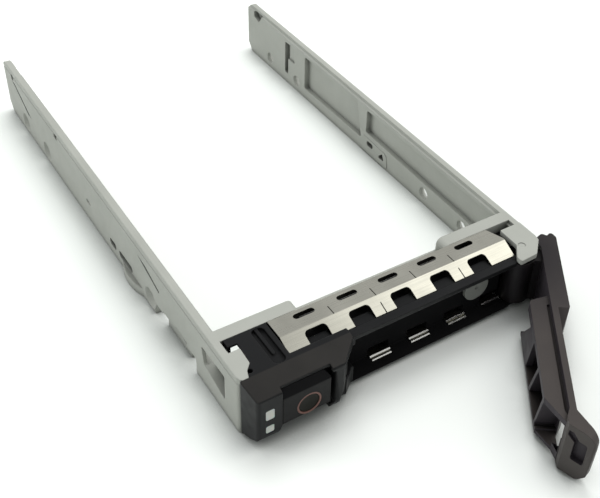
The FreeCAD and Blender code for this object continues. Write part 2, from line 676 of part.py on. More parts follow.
os.makedirs("parts", exist_ok=True)
for node, shape in build().items():
    print(node, "solids", len(shape.Solids), "valid", shape.isValid(), "volume", round(shape.Volume, 1))
    shape.exportStep("parts/" + node + ".step")
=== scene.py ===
import logging
import math
from collections.abc import Callable
from dataclasses import dataclass
from enum import Enum
from functools import cache

import bmesh
import bpy
from mathutils import Matrix, Vector


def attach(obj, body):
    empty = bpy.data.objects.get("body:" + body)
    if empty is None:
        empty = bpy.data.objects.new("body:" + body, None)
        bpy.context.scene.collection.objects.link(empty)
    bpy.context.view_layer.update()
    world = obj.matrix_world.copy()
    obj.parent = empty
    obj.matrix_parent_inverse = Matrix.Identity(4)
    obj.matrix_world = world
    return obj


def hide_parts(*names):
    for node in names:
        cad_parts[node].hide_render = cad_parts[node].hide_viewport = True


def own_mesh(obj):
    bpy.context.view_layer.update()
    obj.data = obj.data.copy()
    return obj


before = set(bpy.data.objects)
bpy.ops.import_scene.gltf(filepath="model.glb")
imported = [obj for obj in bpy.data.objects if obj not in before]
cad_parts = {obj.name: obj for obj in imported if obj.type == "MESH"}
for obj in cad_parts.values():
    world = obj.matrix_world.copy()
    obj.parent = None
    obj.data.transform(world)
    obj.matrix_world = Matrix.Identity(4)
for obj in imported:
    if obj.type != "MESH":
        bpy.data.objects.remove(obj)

LOG = logging.getLogger("drive_caddy")

Colour = tuple[float, float, float]
Point = tuple[float, float, float]
Corner = tuple[float, ...]
Stops = tuple[tuple[float, Colour], ...]
Socket = bpy.types.NodeSocket

# Sizes are in millimetres and angles in degrees, unless a docstring says otherwise.
MM = 0.001
HEIGHT = 15.0
GAUGE = 0.2
HINGE = (32.1, -11.5)
OPEN_DEG = 54.2
TAB_CENTRES = (-13.6, -3.67, 6.25, 16.17, 26.1)
SMOOTH_DEG = 26.0
FLAT_DEG = 0.6
CAD_WELD = 0.002
PIECE_WELD = 0.001
FAR = math.inf


class Plane(Enum):
    """The plane of a flat outline, as its two axes and the axis that it is drawn out along."""

    FLAT = (0, 1, 2)
    SIDE = (1, 2, 0)
    FRONT = (0, 2, 1)


class Joining(Enum):
    """What one solid does to another."""

    CUT = "DIFFERENCE"
    ADD = "UNION"


def set_stops(ramp: bpy.types.ColorRamp, stops: Stops) -> None:
    """Sets a new colour ramp's stops.

    Args:
        ramp: The ramp, which still has its first two stops.
        stops: Each stop's place and colour, in order.
    """
    for element, (place, colour) in zip(ramp.elements, (stops[0], stops[-1])):
        element.position = place
        element.color = (*colour, 1.0)
    for place, colour in stops[1:-1]:
        ramp.elements.new(place).color = (*colour, 1.0)


class NodeSheet:
    """A material's node tree, with short calls for the nodes that the finishes share."""

    def __init__(self, name: str) -> None:
        """Starts a material.

        Args:
            name: The material's name.
        """
        self.material = bpy.data.materials.new(name)
        self.material.use_nodes = True
        self.tree = self.material.node_tree
        self.surface = self.tree.nodes["Principled BSDF"]
        self.place = self.add("ShaderNodeTexCoord").outputs["Object"]

    def add(self, kind: str) -> bpy.types.Node:
        """Adds a node of a kind and returns it."""
        return self.tree.nodes.new(kind)

    def link(self, source: Socket, target: Socket) -> None:
        """Joins an output socket to an input socket."""
        self.tree.links.new(source, target)

    def noise(self, scale: float, detail: float, place: Socket | None = None) -> Socket:
        """Adds a noise texture.

        Args:
            scale: The number of features in a metre.
            detail: How many finer layers it has.
            place: The coordinates, if they aren't the object's own.

        Returns:
            The noise's value.
        """
        node = self.add("ShaderNodeTexNoise")
        node.inputs["Scale"].default_value = scale
        node.inputs["Detail"].default_value = detail
        self.link(place or self.place, node.inputs["Vector"])
        return node.outputs["Fac"]

    def ramp(self, value: Socket, stops: Stops) -> Socket:
        """Turns a value into a colour that runs between stops.

        Args:
            value: The value.
            stops: Each stop's place and colour.

        Returns:
            The colour.
        """
        node = self.add("ShaderNodeValToRGB")
        set_stops(node.color_ramp, stops)
        self.link(value, node.inputs["Fac"])
        return node.outputs["Color"]

    def fade(
        self, value: Socket, start: float, end: float, low: float = 0.0, high: float = 1.0
    ) -> Socket:
        """Maps a value onto a range and clamps it there.

        Args:
            value: The value.
            start: The value that gives the low result.
            end: The value that gives the high result.
            low: The low result.
            high: The high result.

        Returns:
            The mapped value.
        """
        node = self.add("ShaderNodeMapRange")
        node.inputs["From Min"].default_value = start
        node.inputs["From Max"].default_value = end
        node.inputs["To Min"].default_value = low
        node.inputs["To Max"].default_value = high
        self.link(value, node.inputs["Value"])
        return node.outputs["Result"]

    def spread(self, noise: Socket, mean: float, below: float, above: float) -> Socket:
        """Spreads noise round a mean.

        Args:
            noise: The noise.
            mean: The mean.
            below: How far the result falls below the mean.
            above: How far it rises above it.

        Returns:
            The mapped noise.
        """
        return self.fade(noise, 0.25, 0.75, mean - below, mean + above)

    def mix(self, factor: Socket, base: Socket | Colour, over: Socket | Colour) -> Socket:
        """Lays a colour over another where a factor says so.

        Args:
            factor: How much of the upper colour shows.
            base: The colour under it.
            over: The upper colour.

        Returns:
            The mixed colour.
        """
        node = self.add("ShaderNodeMix")
        node.data_type = "RGBA"
        self.link(factor, node.inputs[0])
        for target, colour in ((node.inputs[6], base), (node.inputs[7], over)):
            if isinstance(colour, tuple):
                target.default_value = (*colour, 1.0)
            else:
                self.link(colour, target)
        return node.outputs[2]

    def rounded(self, radius: float, samples: int) -> Socket:
        """Rounds the edges for the light alone.

        Args:
            radius: The rounding radius.
            samples: The number of rays that look for an edge.

        Returns:
            The rounded normal.
        """
        bevel = self.add("ShaderNodeBevel")
        bevel.samples = samples
        bevel.inputs["Radius"].default_value = radius * MM
        return bevel.outputs["Normal"]

    def edge_highlight_mask(self, radius: float) -> Socket:
        """Finds the edges, where a rounded normal leaves the flat one, for the painted highlight
        along them.

        Args:
            radius: The rounding radius.

        Returns:
            A value that is above zero along the edges.
        """
        soft = self.rounded(radius, samples=4)
        flat = self.add("ShaderNodeNewGeometry")
        dot = self.add("ShaderNodeVectorMath")
        dot.operation = "DOT_PRODUCT"
        self.link(soft, dot.inputs[0])
        self.link(flat.outputs["Normal"], dot.inputs[1])
        return self.fade(dot.outputs["Value"], start=0.985, end=0.8, high=0.35)

    def near(self, spot: Point, full: float, none: float) -> Socket:
        """Finds what lies near a point of the object.

        Args:
            spot: The point.
            full: The distance within which the value is one.
            none: The distance beyond which it is nothing.

        Returns:
            The value.
        """
        gap = self.add("ShaderNodeVectorMath")
        gap.operation = "DISTANCE"
        self.link(self.place, gap.inputs[0])
        gap.inputs[1].default_value = tuple(c * MM for c in spot)
        return self.fade(gap.outputs["Value"], none * MM, full * MM)

    def pocket_shade_mask(self, reach: float) -> Socket:
        """Finds deep corners and pockets, where walls stand close on most sides, for the painted
        shade that darkens them.

        Args:
            reach: How far the walls are looked for.

        Returns:
            A value that rises to one in the deepest places.
        """
        shade = self.add("ShaderNodeAmbientOcclusion")
        shade.samples = 8
        shade.inputs["Distance"].default_value = reach * MM
        return self.fade(shade.outputs["AO"], start=0.75, end=0.3)

    def bump(self, value: Socket, height: float, edge: float) -> None:
        """Raises the skin by a value, over edges that are rounded for the light.

        Args:
            value: The height pattern.
            height: Its height.
            edge: The rounding radius.
        """
        soft = self.rounded(edge, samples=6)
        node = self.add("ShaderNodeBump")
        node.inputs["Distance"].default_value = height * MM
        node.inputs["Strength"].default_value = 1.0
        self.link(value, node.inputs["Height"])
        self.link(soft, node.inputs["Normal"])
        self.link(node.outputs["Normal"], self.surface.inputs["Normal"])


@dataclass(frozen=True)
class MouldedPlastic:
    """A moulded plastic with a sparked skin, softly rounded edges and uneven colour, with a
    painted highlight along its edges and painted shade in its deep corners.

    Args:
        name: The material's name.
        colour: The body colour, linear.
        pale: The colour of its paler areas, linear.
        rough: The mean roughness.
        gleam: How strongly the skin reflects.
        grain: The size of the skin's grain.
        depth: The height of that grain.
        edge: The radius that light shows along the edges.
        edge_highlight: How much paler than the pale areas the painted highlight along the edges
            is.
        corner_shade: How far the colour is darkened in deep corners and pockets, as painted shade.
        reach: How near the facing walls of such a pocket are.
        hub_shade: The colour of the painted shade round the hinge, or None.
        hub_shade_at: The middle of that area.
        hub_shade_full: The distance from it within which that colour is full.
        hub_shade_none: The distance beyond which none of it is left.
    """

    name: str
    colour: Colour
    pale: Colour
    rough: float = 0.5
    gleam: float = 0.4
    grain: float = 0.22
    depth: float = 0.012
    edge: float = 0.2
    edge_highlight: float = 1.25
    corner_shade: float = 0.0
    reach: float = 6.0
    hub_shade: Colour | None = None
    hub_shade_at: Point = (*HINGE, 7.0)
    hub_shade_full: float = 5.0
    hub_shade_none: float = 24.0

    def build(self) -> bpy.types.Material:
        """Makes the material.

        Returns:
            The node material.
        """
        sheet = NodeSheet(self.name)
        cloud = sheet.noise(70.0, detail=3.0)
        tone = sheet.ramp(cloud, ((0.3, self.colour), (0.75, self.pale)))
        # Painted shade: the colour darkens towards the hub colour round the hinge.
        if self.hub_shade:
            tone = sheet.mix(sheet.near(self.hub_shade_at, self.hub_shade_full, self.hub_shade_none), tone, self.hub_shade)
        # Painted highlight: the edges are paler, standing for the light that rounded edges catch.
        edge_lit = tuple(min(1.0, c * self.edge_highlight + 0.01) for c in self.pale)
        tone = sheet.mix(sheet.edge_highlight_mask(self.edge), tone, edge_lit)
        # Painted shade: deep corners and pockets are darkened by how closely walls surround them.
        if self.corner_shade > 0:
            shaded_colour = tuple(c * (1.0 - self.corner_shade) for c in self.colour)
            tone = sheet.mix(sheet.pocket_shade_mask(self.reach), tone, shaded_colour)
        gloss = sheet.spread(sheet.noise(420.0, detail=2.0), self.rough, below=0.06, above=0.08)
        sheet.link(tone, sheet.surface.inputs["Base Color"])
        sheet.link(gloss, sheet.surface.inputs["Roughness"])
        sheet.surface.inputs["Specular IOR Level"].default_value = self.gleam
        sheet.bump(sheet.noise(1000.0 / self.grain, detail=4.0), self.depth, self.edge)
        return sheet.material


@dataclass(frozen=True)
class PressedSteel:
    """Cold-rolled spring steel with rolling lines along X and faint handling marks.

    Args:
        name: The material's name.
        colour: The metal's colour, linear.
        rough: The mean roughness.
        edge: The radius that light shows along the edges.
        lines: How many rolling lines there are in a metre along X, Y and Z.
        line_height: The height of those lines.
        mark: The share of the colour that is left where the steel was handled.
        left: The share of the colour that is left at the left end, darkened there as painted shade
            where the reflection fades.
        left_shade_at: The middle of that end.
        left_shade_full: The distance from it within which the painted shade is darkest.
        left_shade_none: The distance beyond which there is none of it.
    """

    name: str
    colour: Colour
    rough: float = 0.3
    edge: float = 0.05
    lines: Point = (60.0, 5200.0, 5200.0)
    line_height: float = 0.0012
    mark: float = 0.86
    left: float = 1.0
    left_shade_at: Point = (-34.0, -10.0, 14.5)
    left_shade_full: float = 4.0
    left_shade_none: float = 36.0

    def build(self) -> bpy.types.Material:
        """Makes the material.

        Returns:
            The node material.
        """
        sheet = NodeSheet(self.name)
        lines = sheet.add("ShaderNodeMapping")
        lines.inputs["Scale"].default_value = self.lines
        sheet.link(sheet.place, lines.inputs["Vector"])
        rolled = sheet.noise(1.0, detail=3.0, place=lines.outputs["Vector"])
        cloud = sheet.noise(160.0, detail=3.0)
        marked = tuple(c * self.mark for c in self.colour)
        tone = sheet.ramp(cloud, ((0.35, marked), (0.7, self.colour)))
        # Painted shade: the colour darkens towards the left end, where the reflection fades.
        if self.left < 1.0:
            left_shaded = tuple(c * self.left for c in self.colour)
            tone = sheet.mix(sheet.near(self.left_shade_at, self.left_shade_full, self.left_shade_none), tone, left_shaded)
        gloss = sheet.spread(rolled, self.rough, below=0.07, above=0.1)
        sheet.link(tone, sheet.surface.inputs["Base Color"])
        sheet.link(gloss, sheet.surface.inputs["Roughness"])
        sheet.surface.inputs["Metallic"].default_value = 1.0
        sheet.bump(rolled, self.line_height, self.edge)
        return sheet.material


@dataclass(frozen=True)
class FrostedPipe:
    """Clear plastic with a frosted face that spreads the light inside it.

    Args:
        name: The material's name.
        colour: The face's colour, linear.
        frost: The height of the frosting.
        deep: How deep the light goes in.
        edge: The radius that light shows along the edges.
    """

    name: str
    colour: Colour
    frost: float = 0.006
    deep: float = 0.8
    edge: float = 0.1

    def build(self) -> bpy.types.Material:
        """Makes the material.

        Returns:
            The node material.
        """
        sheet = NodeSheet(self.name)
        pale = tuple(min(1.0, c * 1.12) for c in self.colour)
        tone = sheet.ramp(sheet.noise(600.0, detail=3.0), ((0.3, self.colour), (0.7, pale)))
        sheet.link(tone, sheet.surface.inputs["Base Color"])
        sheet.surface.inputs["Roughness"].default_value = 0.35
        sheet.surface.inputs["Subsurface Weight"].default_value = 0.4
        sheet.surface.inputs["Subsurface Scale"].default_value = self.deep * MM
        sheet.bump(sheet.noise(5000.0, detail=2.0), self.frost, self.edge)
        return sheet.material


Finish = MouldedPlastic | PressedSteel | FrostedPipe

# The tray's grey plastic, with painted shade in its deep corners and pockets.
TRAY_GREY = MouldedPlastic(
    "tray_grey",
    (0.375, 0.388, 0.352),
    (0.425, 0.438, 0.40),
    rough=0.55,
    edge=0.35,
    corner_shade=0.62,
    reach=3.2,
)
# The bezel's black plastic, with painted shade in its deep corners and pockets.
BEZEL_BLACK = MouldedPlastic(
    "bezel_black",
    (0.008, 0.0085, 0.0092),
    (0.012, 0.0125, 0.013),
    rough=0.42,
    gleam=0.16,
    edge=0.45,
    corner_shade=0.75,
)
# A darker, duller copy of the bezel plastic: painted shade for the trough and for the button's
# face under the brow.
BEZEL_SHADED = MouldedPlastic(
    "bezel_shaded", (0.0075, 0.0075, 0.008), (0.011, 0.011, 0.0115), rough=0.6, gleam=0.03
)
# A paler, browner copy of the bezel plastic: painted light on the sloped brow.
BEZEL_BROW_LIT = MouldedPlastic(
    "bezel_brow_lit",
    (0.017, 0.0163, 0.0155),
    (0.027, 0.0253, 0.0233),
    rough=0.42,
    gleam=0.16,
    edge=0.45,
)
BUTTON_BLACK = MouldedPlastic(
    "button_black", (0.006, 0.006, 0.0065), (0.010, 0.0098, 0.010), rough=0.42, gleam=0.13
)
RING_BROWN = MouldedPlastic(
    "ring_brown", (0.14, 0.066, 0.052), (0.19, 0.095, 0.076), rough=0.4, edge=0.05
)
DISH_OLIVE = MouldedPlastic(
    "dish_olive", (0.010, 0.0095, 0.007), (0.016, 0.0155, 0.012), rough=0.45, gleam=0.12
)
# The lever's plastic, with painted shade in its pockets and near-black painted shade round the
# hinge.
LEVER_BROWN = MouldedPlastic(
    "lever_brown",
    (0.046, 0.040, 0.038),
    (0.062, 0.054, 0.050),
    rough=0.45,
    gleam=0.24,
    corner_shade=0.85,
    reach=9.0,
    hub_shade=(0.012, 0.010, 0.0125),
)
# A darker, purplish copy of the lever plastic: painted shade for the channel's pockets and the
# tab's recess.
LEVER_SHADED = MouldedPlastic(
    "lever_shaded",
    (0.036, 0.0315, 0.037),
    (0.048, 0.042, 0.048),
    rough=0.5,
    gleam=0.16,
    corner_shade=0.3,
    reach=9.0,
)
STUD_GREY = MouldedPlastic("stud_grey", (0.20, 0.21, 0.19), (0.25, 0.26, 0.24), rough=0.5)
STRIP_STEEL = PressedSteel("strip_steel", (0.585, 0.58, 0.51), rough=0.3)
# The flange's copy of the steel: a little paler as painted light, with painted shade towards its
# left end.
FLANGE_STEEL = PressedSteel("flange_steel", (0.60, 0.595, 0.52), rough=0.28, left=0.45)
# A much paler copy of the steel for the tab tips: a painted glint along them.
TIP_GLINT_STEEL = PressedSteel("tip_glint_steel", (0.93, 0.93, 0.88), rough=0.22)
WIRE_STEEL = PressedSteel("wire_steel", (0.5, 0.5, 0.5), rough=0.25)
PIPE_PALE = FrostedPipe("pipe_pale", (0.55, 0.56, 0.53))


@cache
def made(finish: Finish) -> bpy.types.Material:
    """Makes a finish's material, once for all the pieces that share it."""
    return finish.build()


def dress(node: str, finish: Finish) -> None:
    """Gives a CAD node its finish.

    Args:
        node: The node's name.
        finish: The finish.
    """
    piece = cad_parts[node]
    piece.data.materials.clear()
    piece.data.materials.append(made(finish))
    LOG.info("dressed %s in %s", node, finish.name)


def oblong(
    left: float,
    right: float,
    front: float,
    back: float,
    front_radius: float = 0.0,
    back_radius: float = 0.0,
) -> tuple[Corner, ...]:
    """Gives a rectangle's outline.

    Args:
        left: Its left side.
        right: Its right side.
        front: Its front side.
        back: Its back side.
        front_radius: The radius of its front corners.
        back_radius: The radius of its back corners.

    Returns:
        The four corners, each as (a, b, radius).
    """
    return (
        (left, front, front_radius),
        (right, front, front_radius),
        (right, back, back_radius),
        (left, back, back_radius),
    )


def rounded_corners(corners: tuple[Corner, ...], turns: int = 6) -> list[tuple[float, float]]:
    """Rounds an outline's corners.

    Args:
        corners: Each corner as (a, b) or (a, b, radius).
        turns: The number of steps in a rounded corner.

    Returns:
        The points of the rounded outline.
    """
    points = []
    for index, corner in enumerate(corners):
        here = Vector(corner[:2])
        radius = corner[2] if len(corner) > 2 else 0.0
        if not radius:
            points.append(tuple(here))
            continue
        back = (Vector(corners[index - 1][:2]) - here).normalized()
        ahead = (Vector(corners[(index + 1) % len(corners)][:2]) - here).normalized()
        half = back.angle(ahead) / 2
        centre = here + (back + ahead).normalized() * (radius / math.sin(half))
        first = here + back * (radius / math.tan(half)) - centre
        last = here + ahead * (radius / math.tan(half)) - centre
        for step in range(turns + 1):
            spoke = first.lerp(last, step / turns).normalized() * radius
            points.append(tuple(centre + spoke))
    return points


class Solid:
    """A closed mesh that can be cut, joined and given its finish."""

    def __init__(self, name: str, shape: bmesh.types.BMesh) -> None:
        """Holds a shape as an object of the scene, and uses the shape up.

        Args:
            name: The object's name.
            shape: The shape, in metres.
        """
        bmesh.ops.recalc_face_normals(shape, faces=shape.faces)
        mesh = bpy.data.meshes.new(name)
        shape.to_mesh(mesh)
        shape.free()
        self.piece = bpy.data.objects.new(name, mesh)
        bpy.context.collection.objects.link(self.piece)

    @classmethod
    def drawn(
        cls, name: str, corners: tuple[Corner, ...], plane: Plane, low: float, high: float
    ) -> "Solid":
        """Draws an outline and extrudes it square to its plane.

        Args:
            name: The object's name.
            corners: The outline's corners, each with a radius if it is rounded.
            plane: The plane it is drawn in.
            low: The level where it starts.
            high: The level where it ends.

        Returns:
            The solid.
        """
        shape = bmesh.new()
        across, up, out = plane.value
        points = rounded_corners(corners)
        rings = []
        for level in (low, high):
            ring = []
            for a, b in points:
                spot = [0.0, 0.0, 0.0]
                spot[across], spot[up], spot[out] = a * MM, b * MM, level * MM
                ring.append(shape.verts.new(spot))
            rings.append(ring)
        bottom, top = rings
        shape.faces.new(bottom)
        shape.faces.new(top)
        for index in range(len(points)):
            after = (index + 1) % len(points)
            shape.faces.new((bottom[index], bottom[after], top[after], top[index]))
        return cls(name, shape)

    @classmethod
    def turned(
        cls, name: str, profile: tuple[Corner, ...], centre: tuple[float, float], steps: int
    ) -> "Solid":
        """Turns a closed profile round an axis that runs along Y.

        Args:
            name: The object's name.
            profile: The profile's (radius, y) points.
            centre: The axis, as (x, z).
            steps: The number of steps in the turn.

        Returns:
            The solid.
        """
        shape = bmesh.new()
        rings = []
        for step in range(steps):
            angle = math.tau * step / steps
            across, up = math.cos(angle), math.sin(angle)
            spots = [(centre[0] + r * across, y, centre[1] + r * up) for r, y in profile]
            rings.append([shape.verts.new([c * MM for c in spot]) for spot in spots])
        for step, ring in enumerate(rings):
            after = rings[(step + 1) % steps]
            for index in range(len(profile)):
                ahead = (index + 1) % len(profile)
                shape.faces.new((ring[index], ring[ahead], after[ahead], after[index]))
        return cls(name, shape)

    @classmethod
    def copied(cls, name: str, node: str) -> "Solid":
        """Starts from a CAD node's own form, welded into one closed skin.

        Args:
            name: The object's name.
            node: The CAD node.

        Returns:
            The solid.
        """
        shape = bmesh.new()
        shape.from_mesh(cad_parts[node].data)
        bmesh.ops.remove_doubles(shape, verts=shape.verts, dist=CAD_WELD * MM)
        return cls(name, shape)

    def moved(self, matrix: Matrix) -> "Solid":
        """Moves the mesh's points.

        Args:
            matrix: The move, in metres.

        Returns:
            The solid itself.
        """
        self.piece.data.transform(matrix)
        if matrix.determinant() < 0:
            self.piece.data.flip_normals()
        return self

    def meet(self, how: Joining, *others: "Solid") -> "Solid":
        """Cuts other solids from this one or joins them to it, and uses them up.

        Args:
            how: Whether they are cut away or added.
            *others: The other solids.

        Returns:
            The solid itself.
        """
        for other in others:
            step = self.piece.modifiers.new("meet", "BOOLEAN")
            step.operation = how.value
            step.solver = "EXACT"
            step.object = other.piece
            graph = bpy.context.evaluated_depsgraph_get()
            mesh = bpy.data.meshes.new_from_object(self.piece.evaluated_get(graph))
            self.piece.modifiers.clear()
            self.piece.data = mesh
            bpy.data.objects.remove(other.piece)
        return self

    def stand_for(
        self, node: str, body: str, finish: Finish, smooth: float = SMOOTH_DEG
    ) -> bpy.types.Object:
        """Gives the solid its finish and lets it stand for a CAD node.

        Args:
            node: The CAD node that it replaces.
            body: The body that it rides on.
            finish: Its finish.
            smooth: The angle up to which faces shade as one.

        Returns:
            The finished piece.
        """
        mesh = self.piece.data
        shape = bmesh.new()
        shape.from_mesh(mesh)
        bmesh.ops.remove_doubles(shape, verts=shape.verts, dist=PIECE_WELD * MM)
        flat = math.radians(FLAT_DEG)
        bmesh.ops.dissolve_limit(shape, angle_limit=flat, verts=shape.verts, edges=shape.edges)
        shape.to_mesh(mesh)
        shape.free()
        mesh.materials.clear()
        mesh.materials.append(made(finish))
        mesh.shade_smooth()
        mesh.set_sharp_from_angle(angle=math.radians(smooth))
        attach(self.piece, body)
        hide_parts(node)
        step = self.piece.modifiers.new("even_shading", "WEIGHTED_NORMAL")
        step.keep_sharp = True
        LOG.info("built %s with %d faces", self.piece.name, len(mesh.polygons))
        return self.piece

    def patch(self, finish: Finish, chosen: Callable[[Vector, Vector], bool]) -> None:
        """Gives some of the faces another finish.

        Args:
            finish: The other finish.
            chosen: Says from a face's centre and normal whether it is one of them.
        """
        mesh = self.piece.data
        mesh.materials.append(made(finish))
        last = len(mesh.materials) - 1
        for face in mesh.polygons:
            if chosen(face.center / MM, face.normal):
                face.material_index = last


@dataclass(frozen=True)
class Block:
    """A block that is cut from a piece or added to it.

    Args:
        name: The block's name.
        corners: Its outline.
        low: The level where it starts.
        high: The level where it ends.
        plane: The plane that its outline is drawn in.
    """

    name: str
    corners: tuple[Corner, ...]
    low: float
    high: float
    plane: Plane = Plane.FLAT

    def solid(self) -> Solid:
        """Draws the block."""
        return Solid.drawn(self.name, self.corners, self.plane, self.low, self.high)


@dataclass(frozen=True)
class Region:
    """The faces whose centres lie in a box and whose normals point in a range.

    Args:
        low: The box's lowest corner.
        high: Its highest corner.
        least: The least that each part of the normal is.
        most: The most that each part of the normal is.
    """

    low: Point = (-FAR, -FAR, -FAR)
    high: Point = (FAR, FAR, FAR)
    least: Point = (-FAR, -FAR, -FAR)
    most: Point = (FAR, FAR, FAR)

    def holds(self, centre: Vector, normal: Vector) -> bool:
        """Says whether a face is one of them.

        Args:
            centre: The face's centre.
            normal: The face's normal.

        Returns:
            Whether it is.
        """
        inside = all(a < c < b for a, c, b in zip(self.low, centre, self.high))
        return inside and all(a < n < b for a, n, b in zip(self.least, normal, self.most))


@dataclass
class Tray:
    """The grey moulding that holds the drive.

    Args:
        finish: The moulding's plastic.
    """

    finish: MouldedPlastic = TRAY_GREY

    def make(self) -> None:
        """Dresses the tray."""
        dress("carrier_tray", self.finish)


@dataclass
class SpringStrip:
    """A hooked strip of spring steel: obround slots, fold slits and a row of sprung tabs.

    Args:
        name: The piece's name.
        right: Its right end.
        tip: The edge of the tabs' tips, as (line, height).
        roll: How far that edge leans back.
        end: The block that shapes its right end.
        split_tabs: The middles of the tabs that a slit splits in two fingers.
        left: Its left end.
        back: The line of its back hook.
        hook: How low that hook reaches.
        fold: The line where the tabs bend down.
        fold_shift: How far the inner line of that bend lies behind the outer one.
        pitch: The spacing of its slots and notches.
        first: The middle of the leftmost slot.
        slot: A slot's half length, front line, back line and end radius.
        notch: A notch's half width, back line and corner radius.
        slit: A fold slit's half width and length.
        split: A split's half width at the tip, half width at the root and back line.
        beyond: A line beyond the tips, where every punch for the tabs starts.
        flat_punch: How low the punches for the flat part reach.
        tab_punch: How low the punches for the tabs reach.
    """

    name: str
    right: float
    tip: tuple[float, float]
    roll: float
    end: Block
    split_tabs: tuple[float, ...] = ()
    left: float = -25.7
    back: float = -3.02
    hook: float = 12.9
    fold: float = -7.9
    fold_shift: float = 0.05
    pitch: float = 9.92
    first: float = -18.55
    slot: tuple[float, float, float, float] = (2.35, -5.475, -4.125, 0.67)
    notch: tuple[float, float, float] = (2.45, -8.7, 0.9)
    slit: tuple[float, float] = (0.1, 2.4)
    split: tuple[float, float, float] = (0.13, 0.1, -9.4)
    beyond: float = -14.0
    flat_punch: float = HEIGHT - 0.5
    tab_punch: float = 11.0

    def sheet(self) -> Solid:
        """Bends the plain sheet.

        Returns:
            The bent sheet.
        """
        top = HEIGHT + GAUGE
        tip, tip_z = self.tip
        section = (
            (self.back, self.hook),
            (self.back, top, 0.35),
            (self.fold, top, 0.45),
            (tip, tip_z),
            (tip + self.roll, tip_z - GAUGE - self.roll / 3),
            (self.fold + self.fold_shift, top - GAUGE, 0.2),
            (self.back - GAUGE, top - GAUGE, 0.12),
            (self.back - GAUGE, self.hook),
        )
        return Solid.drawn(self.name, section, Plane.SIDE, self.left, self.right)

    def openings(self) -> list[Solid]:
        """Draws what is punched from the sheet.

        Returns:
            The punches.
        """
        top = HEIGHT + 1
        blocks = []
        half, front, back, radius = self.slot
        wide, root, turn = self.notch
        for index in range(len(TAB_CENTRES)):
            x = self.first + self.pitch * index
            slot = oblong(x - half, x + half, front, back, radius, radius)
            blocks.append(Block("slot", slot, self.flat_punch, top))
            notch = oblong(x - wide, x + wide, self.beyond, root, back_radius=turn)
            blocks.append(Block("notch", notch, self.tab_punch, top))
        half, length = self.slit
        for x in TAB_CENTRES[:-1]:
            slit = oblong(x - half, x + half, self.fold, self.fold + length)
            blocks.append(Block("slit", slit, self.flat_punch, top))
        wide, narrow, root = self.split
        for x in self.split_tabs:
            ends = (x - wide, self.beyond), (x + wide, self.beyond)
            roots = (x + narrow, root), (x - narrow, root)
            blocks.append(Block("finger", ends + roots, self.tab_punch, top))
        return [block.solid() for block in (*blocks, self.end)]


@dataclass
class TopStrip(SpringStrip):
    """The strip on top of the bezel, with a slanted right end and two split tabs.

    Args:
        flange: The faces of the tabs, which lean forward.
        The other sizes are those of SpringStrip.
    """

    name: str = "strip_top_sheet"
    right: float = 30.4
    tip: tuple[float, float] = (-11.8, 13.7)
    roll: float = 0.08
    end: Block = Block(
        "end",
        ((28.4, -2.0), (28.5, -2.9), (30.2, -7.4), (29.8, -12.5), (33.0, -12.5), (33.0, -2.0)),
        11.0,
        HEIGHT + 1,
    )
    split_tabs: tuple[float, ...] = (TAB_CENTRES[1], TAB_CENTRES[3])
    flange: Region = Region(least=(-FAR, -0.6, 0.8), most=(FAR, -0.2, FAR))

    def make(self) -> None:
        """Builds the strip."""
        strip = self.sheet().meet(Joining.CUT, *self.openings())
        strip.stand_for("spring_strip_top", "tray", STRIP_STEEL)
        # The forward-leaning flange gets the steel copy with painted light and painted shade
        # towards its left end.
        strip.patch(FLANGE_STEEL, self.flange.holds)


@dataclass
class LowerStrip(SpringStrip):
    """The strip under the bezel: the same form turned over, with shorter, hemmed tabs.

    Args:
        hem: The section of a tab's folded hem, from the edge of its tip.
        hem_half: The hem's half width.
        tip_glint: The faces of the tips, which lean forward and get the paler steel as a painted
            glint.
        The other sizes are those of SpringStrip.
    """

    name: str = "strip_lower_sheet"
    right: float = 29.2
    tip: tuple[float, float] = (-11.0, 13.9)
    roll: float = 0.26
    end: Block = Block("end", oblong(28.5, 30.0, -13.0, -8.6), 11.0, HEIGHT + 1)
    hem: tuple[Corner, ...] = ((0.6, 0.5), (-0.7, 0.5), (-0.7, 0.36), (-0.5, 0.16), (0.6, 0.05))
    hem_half: float = 2.4
    tip_glint: Region = Region(high=(FAR, -10.6, FAR), least=(-FAR, -FAR, 0.2), most=(FAR, -0.5, FAR))

    def hems(self) -> list[Solid]:
        """Draws the folded hems under the tips of the broad tabs.

        Returns:
            The hems.
        """
        profile = tuple((self.tip[0] + a, self.tip[1] + b) for a, b in self.hem)
        return [
            Solid.drawn("hem", profile, Plane.SIDE, x - self.hem_half, x + self.hem_half)
            for x in TAB_CENTRES[:-1]
        ]

    def make(self) -> None:
        """Builds the strip upright and turns it over."""
        strip = self.sheet().meet(Joining.ADD, *self.hems()).meet(Joining.CUT, *self.openings())
        over = Matrix.Translation((0, 0, (HEIGHT + GAUGE) * MM)) @ Matrix.Diagonal((1, 1, -1, 1))
        strip.moved(over).stand_for("spring_strip_bottom", "tray", STRIP_STEEL)
        # Painted glint: the tips get the paler steel.
        strip.patch(TIP_GLINT_STEEL, self.tip_glint.holds)


